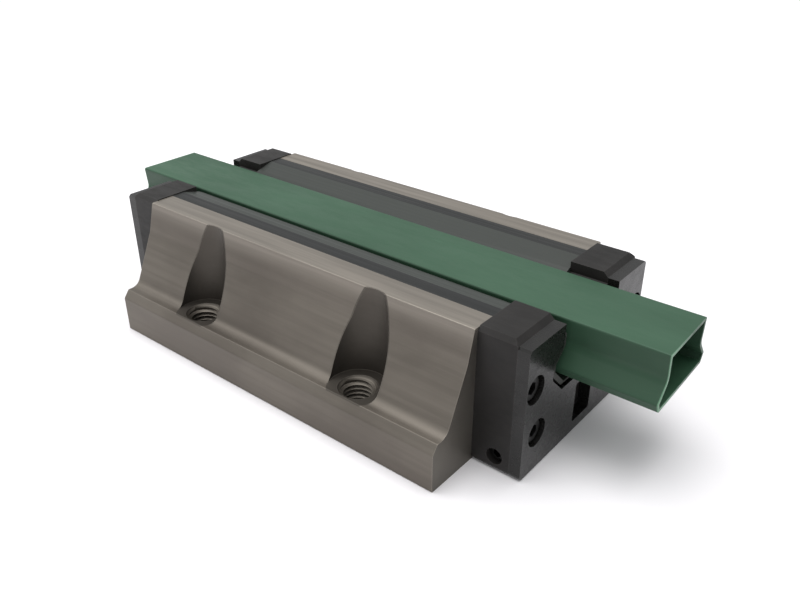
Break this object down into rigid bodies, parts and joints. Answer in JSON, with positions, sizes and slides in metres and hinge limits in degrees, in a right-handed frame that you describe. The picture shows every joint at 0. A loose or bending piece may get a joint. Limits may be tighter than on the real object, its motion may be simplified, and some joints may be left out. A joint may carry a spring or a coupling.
{
  "type": "linear guide carriage",
  "caption": "Flanged roller guide carriage with recirculating roller rows, end caps and a sliding hollow mounting arbor in its rail channel.",
  "frame": {"origin": "centre of the mounting face", "axes": "+X is the direction of travel, towards the front end; +Z points out of the rail channel, away from the mounting face; the part lies on its mounting face"},
  "size_m": [0.2504, 0.12, 0.0504],
  "materials": {
    "body_steel": "hardened steel, dark on the sides and ground bright on the leg tops and mounting face",
    "roller_steel": "ground and polished bearing steel",
    "screw_steel": "black oxide steel",
    "guide_plastic": "natural moulded plastic",
    "strip_plastic": "extruded dark grey plastic",
    "cap_plastic": "moulded near-black plastic",
    "plate_plastic": "moulded near-black plastic, slightly greyer than the cap",
    "wiper_rubber": "black nitrile rubber",
    "arbor_plastic": "extruded green plastic with sawn ends"
  },
  "bodies": {
    "carriage": {"carriage_body": "body_steel", "roller_circuit_left_deep": "roller_steel", "return_tube_left_deep": "guide_plastic", "turn_guide_left_deep_front": "guide_plastic", "turn_guide_left_deep_rear": "guide_plastic", "roller_circuit_left_mouth": "roller_steel", "return_tube_left_mouth": "guide_plastic", "turn_guide_left_mouth_front": "guide_plastic", "turn_guide_left_mouth_rear": "guide_plastic", "roller_circuit_right_deep": "roller_steel", "return_tube_right_deep": "guide_plastic", "turn_guide_right_deep_front": "guide_plastic", "turn_guide_right_deep_rear": "guide_plastic", "roller_circuit_right_mouth": "roller_steel", "return_tube_right_mouth": "guide_plastic", "turn_guide_right_mouth_front": "guide_plastic", "turn_guide_right_mouth_rear": "guide_plastic", "deep_retainer_left": "guide_plastic", "middle_retainer_left": "guide_plastic", "mouth_retainer_left": "guide_plastic", "seal_strip_left": "strip_plastic", "deep_retainer_right": "guide_plastic", "middle_retainer_right": "guide_plastic", "mouth_retainer_right": "guide_plastic", "seal_strip_right": "strip_plastic", "end_cap_front": "cap_plastic", "end_wiper_front": "wiper_rubber", "front_plate_front": "plate_plastic", "cap_screws_front": "screw_steel", "side_plugs_front": "screw_steel", "end_cap_rear": "cap_plastic", "end_wiper_rear": "wiper_rubber", "front_plate_rear": "plate_plastic", "cap_screws_rear": "screw_steel", "side_plugs_rear": "screw_steel"},
    "arbor": {"mounting_arbor": "arbor_plastic"}
  },
  "joints": [
    {"name": "arbor_slide", "type": "slide", "parent": "carriage", "child": "arbor", "axis": [1, 0, 0], "range_m": [-0.23, 0.22]}
  ]
}
